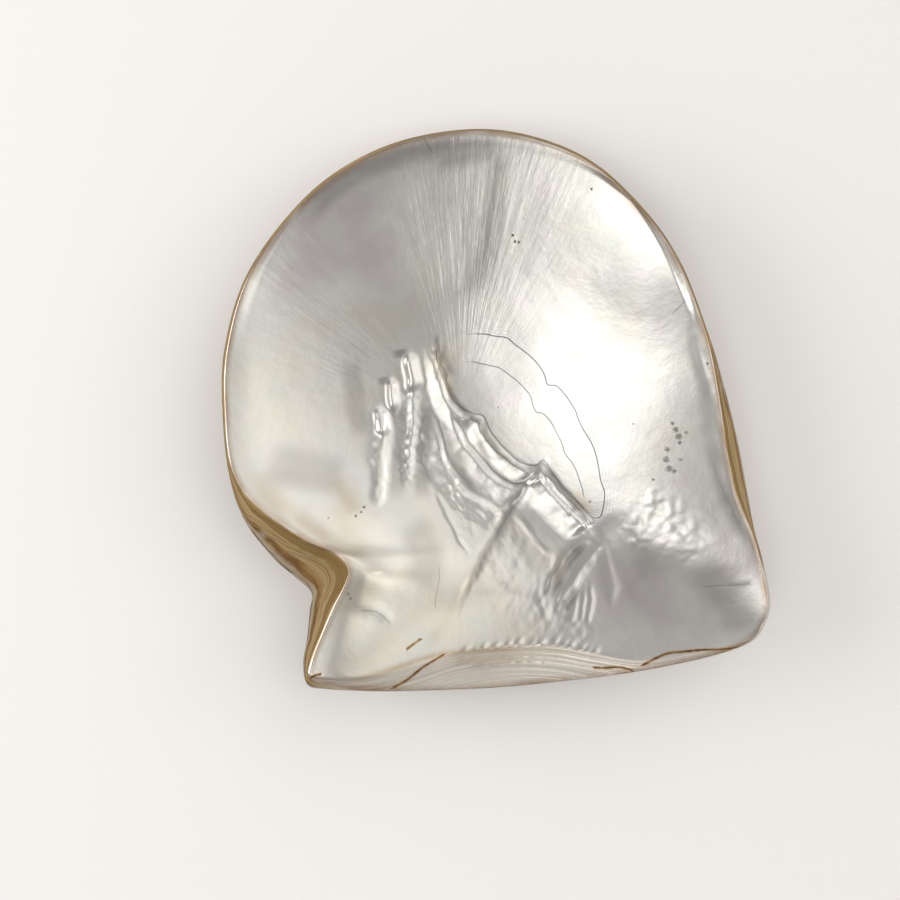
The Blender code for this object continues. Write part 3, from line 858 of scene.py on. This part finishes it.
# The edge of the valve: layers of horny conchiolin and prismatic calcite seen end on. It looks like
# split horn, ochre brown with paler and darker threads, and is duller than the nacre.
edgeLook = {
    "layers": [  # share of the way down, and colour
        (0.00, "#cdbb95"), (0.05, "#a98b56"), (0.14, "#8a6c39"), (0.30, "#8f733f"), (0.36, "#c0a87c"),
        (0.42, "#a78a58"), (0.58, "#b59a6f"), (0.66, "#9a7640"), (0.74, "#74501f"), (0.82, "#ab9470"),
        (0.92, "#b3a48c"), (1.00, "#6b5238"),
    ],
    "thread": "#4b3414",
    "bone": "#b8ab97",
    "hinge": "#c8bba6",
    "paleRim": "#d8d2c8",
    "crack": "#2a1c0f",
    "drift": 70.0,  # the layers wander over about 14 mm
    "patches": 75.0,  # bony patches about 13 mm apart
    "threads": 1.9,  # threads for each mm, about 0.5 mm apart
    "roughness": 0.5,
}


def makeEdge():
    material, tree, shader = newMaterial("laminated edge")
    look = edgeLook
    marks = {}
    for name in ("edgeDepth", "downEdge", "beyondCrest", "paleRim"):
        marks[name] = addNode(tree, "Attribute", {"attribute_name": name}, {})["Fac"]
    place = addNode(tree, "TexCoord", {}, {})["Object"]
    drift = addNode(tree, "TexNoise", {}, {"Vector": place, "Scale": look["drift"], "Detail": 3.0})[0]
    shift = addNode(tree, "MapRange", {}, {0: drift, 1: 0.3, 2: 0.7, 3: -0.10, 4: 0.10})[0]
    layer = addNode(tree, "Math", plus, {0: marks["downEdge"], 1: shift})[0]
    ramp = addNode(tree, "ValToRGB", {}, {0: layer})[0]
    stops = ramp.node.color_ramp.elements
    stops[0].position = 0.0
    stops[0].color = linear(look["layers"][0][1])
    stops[1].position = 1.0
    stops[1].color = linear(look["layers"][-1][1])
    for position, hexColour in look["layers"][1:-1]:
        stops.new(position).color = linear(hexColour)

    # threads that run along the layers, bony patches low down, paler at the hinge and the far corner
    bent = {0: drift, 1: 2.5, 2: marks["edgeDepth"]}
    along = addNode(tree, "Math", {"operation": "MULTIPLY_ADD"}, bent)[0]
    spun = {"W": along, "Scale": look["threads"], "Detail": 4.0, "Roughness": 0.7}
    threads = addNode(tree, "TexNoise", oneWay, spun)[0]
    thin = addNode(tree, "MapRange", {}, {0: threads, 1: 0.48, 2: 0.30, 3: 0.0, 4: 0.75})[0]
    low = addNode(tree, "MapRange", {}, {0: marks["downEdge"], 1: 0.45, 2: 0.65, 3: 0.0, 4: 1.0})[0]
    patch = addNode(tree, "TexNoise", {}, {"Vector": place, "Scale": look["patches"], "Detail": 2.0})[0]
    bone = addNode(tree, "MapRange", {}, {0: patch, 1: 0.60, 2: 0.72, 3: 0.0, 4: 0.8})[0]
    bone = addNode(tree, "Math", times, {0: bone, 1: low})[0]
    hinge = addNode(tree, "MapRange", {}, {0: marks["beyondCrest"], 1: 1.0, 2: 3.0, 3: 0.0, 4: 0.7})[0]
    pale = addNode(tree, "Math", times, {0: marks["paleRim"], 1: 0.85})[0]
    deep = addNode(tree, "MapRange", {}, {0: threads, 1: 0.34, 2: 0.28, 3: 0.0, 4: 0.9})[0]
    deep = addNode(tree, "Math", times, {0: deep, 1: low})[0]
    layers = [(thin, "thread"), (bone, "bone"), (hinge, "hinge"), (pale, "paleRim"), (deep, "crack")]
    colour = ramp
    for factor, name in layers:
        colour = addNode(tree, "Mix", colourMix, {0: factor, 6: colour, 7: linear(look[name])})[2]
    tree.links.new(colour, shader.inputs["Base Color"])
    bump = addNode(tree, "Bump", {}, {"Strength": 1.0, "Distance": 0.0005, "Height": threads})[0]
    tree.links.new(bump, shader.inputs["Normal"])
    shader.inputs["Roughness"].default_value = look["roughness"]
    shader.inputs["Specular IOR Level"].default_value = 0.35
    return material


# The outside: chalky prismatic calcite worn by the sea. It looks like dry flaking paper in layers, matt,
# pinkish beige, darker where the bands' bump is low and paler where it is high, with rust-brown spots.
outsideLook = {
    "bands": [(0.40, "#978372"), (0.55, "#b8a596")],  # between the darkest colour, where the bands' bump is low, and the palest, where it is high
    "darkInHollows": "#5c4a3a",
    "pale": "#d3c8bb",
    "rust": "#8a5a36",
    "drift": 45.0,  # the bands wander over about 22 mm
    "mottle": 160.0,  # spots about 6 mm apart
    "bandCount": 26.0,  # bands from the beak to the margin, with finer ones in them
    "roughness": 0.8,
}


def makeOutside():
    material, tree, shader = newMaterial("chalky outside")
    look = outsideLook
    place = addNode(tree, "TexCoord", {}, {})["Object"]
    grown = addNode(tree, "Attribute", {"attribute_name": "growth"}, {})["Fac"]
    drift = addNode(tree, "TexNoise", {}, {"Vector": place, "Scale": look["drift"], "Detail": 3.0})[0]
    drift = addNode(tree, "Math", times, {0: drift, 1: 0.03})[0]
    layer = addNode(tree, "Math", plus, {0: grown, 1: drift})[0]
    banded = {"W": layer, "Scale": look["bandCount"], "Detail": 5.0, "Roughness": 0.7}
    bands = addNode(tree, "TexNoise", oneWay, banded)[0]
    mottled = {"Vector": place, "Scale": look["mottle"], "Detail": 4.0, "Roughness": 0.6}
    mottle = addNode(tree, "TexNoise", {}, mottled)[0]
    # the bands set both the colour and the bump, so the colour is darkest in the bump's hollows
    ramp = addNode(tree, "ValToRGB", {}, {0: bands})[0]
    stops = ramp.node.color_ramp.elements
    stops[0].position = 0.30
    stops[0].color = linear(look["darkInHollows"])
    stops[1].position = 0.72
    stops[1].color = linear(look["pale"])
    for position, hexColour in look["bands"]:
        stops.new(position).color = linear(hexColour)
    rust = addNode(tree, "MapRange", {}, {0: mottle, 1: 0.60, 2: 0.70, 3: 0.0, 4: 0.75})[0]
    colour = addNode(tree, "Mix", colourMix, {0: rust, 6: ramp, 7: linear(look["rust"])})[2]
    tree.links.new(colour, shader.inputs["Base Color"])
    bump = addNode(tree, "Bump", {}, {"Strength": 1.0, "Distance": 0.0006, "Height": bands})[0]
    raised = {"Strength": 1.0, "Distance": 0.0003, "Height": mottle, "Normal": bump}
    bump = addNode(tree, "Bump", {}, raised)[0]
    tree.links.new(bump, shader.inputs["Normal"])
    shader.inputs["Roughness"].default_value = look["roughness"]
    return material


markZones(shell.data)
for material in (makeNacre(), makeEdge(), makeOutside()):
    shell.data.materials.append(material)
print("materials:", len(shell.data.materials))

bpy.ops.object.select_all(action="DESELECT")
bpy.ops.mesh.primitive_plane_add(size=6)
floor = bpy.context.object
floor.name = "floor"
card, cardTree, cardShader = newMaterial("white card")
cardShader.inputs["Base Color"].default_value = linear("#f4f2ee")
cardShader.inputs["Roughness"].default_value = 0.7
floor.data.materials.append(card)

# The camera looks square onto the margin of the leaning valve, as in the picture.
camera = {"x": -0.0142, "y": -0.0115, "away": 0.55, "marginHeight": 0.024, "frameWidth": 0.2772}
turn = (-math.radians(valve["leanToFar"]), -math.radians(valve["leanToNotch"]), 0.0)
bpy.ops.object.camera_add(location=(0, 0, 0), rotation=turn)
eye = bpy.context.object
back = np.array(eye.rotation_euler.to_matrix())[:, 2] * camera["away"]
eye.location = (camera["x"] + back[0], camera["y"] + back[1], camera["marginHeight"] + back[2])
eye.data.angle = 2 * math.atan(camera["frameWidth"] / 2 / camera["away"])
bpy.context.scene.camera = eye

# The room as the nacre mirrors it: an even glow, and soft bright patches. Each has its degrees round from
# +X, degrees from straight up, how narrow it is and its glow.
room = {
    "even glow": 0.33,
    "walls": 0.75,  # what the pale walls add near the horizon
    "patches": [
        (215, 22, 42, 3.0),  # white ceiling by the window
        (357, 44, 16, 1.55),  # pale wall to the right
        (62, 42, 11, 0.75),  # pale wall behind
        (54, 20, 40, 0.60),
        (55, 60, 22, 0.90),
    ],
}
world = bpy.data.worlds.new("room")
bpy.context.scene.world = world
world.use_nodes = True
sky = world.node_tree
toRoom = addNode(sky, "TexCoord", {}, {})["Generated"]
glow = room["even glow"]
for around, down, narrow, strength in room["patches"]:
    a = math.radians(around)
    d = math.radians(down)
    axis = (math.sin(d) * math.cos(a), math.sin(d) * math.sin(a), math.cos(d))
    facing = addNode(sky, "VectorMath", {"operation": "DOT_PRODUCT"}, {0: toRoom, 1: axis})["Value"]
    facing = addNode(sky, "Math", {"operation": "MAXIMUM"}, {0: facing, 1: 0.0})[0]
    facing = addNode(sky, "Math", {"operation": "POWER"}, {0: facing, 1: narrow})[0]
    glow = addNode(sky, "Math", {"operation": "MULTIPLY_ADD"}, {0: facing, 1: strength, 2: glow})[0]
height = addNode(sky, "SeparateXYZ", {}, {0: toRoom})["Z"]
walls = addNode(sky, "MapRange", {}, {0: height, 1: 0.55, 2: 0.0, 3: 0.0, 4: room["walls"]})[0]
glow = addNode(sky, "Math", {"operation": "ADD"}, {0: glow, 1: walls})[0]
sky.nodes["Background"].inputs["Color"].default_value = linear("#fbfaf9")
sky.links.new(glow, sky.nodes["Background"].inputs["Strength"])
bpy.context.scene.view_settings.view_transform = "Standard"

# Soft windows low at the sides: degrees round from +X, degrees from straight up, distance and sides in
# metres, and how bright the window itself looks.
lights = {
    "left window": {"around": 172, "down": 64, "distance": 1.4, "sides": (0.8, 1.0), "glow": 3.6},
    "right window": {"around": 12, "down": 62, "distance": 1.5, "sides": (0.35, 0.6), "glow": 2.4},
}
for name, light in lights.items():
    a = math.radians(light["around"])
    d = math.radians(light["down"])
    reach = light["distance"]
    place = (reach * math.sin(d) * math.cos(a), reach * math.sin(d) * math.sin(a), reach * math.cos(d))
    bpy.ops.object.light_add(type="AREA", location=place)
    lamp = bpy.context.object
    lamp.name = name
    lamp.rotation_euler = (0, d, a)
    lamp.data.shape = "RECTANGLE"
    lamp.data.size, lamp.data.size_y = light["sides"]
    lamp.data.energy = light["glow"] * light["sides"][0] * light["sides"][1] * math.pi
print("lights:", len(lights))
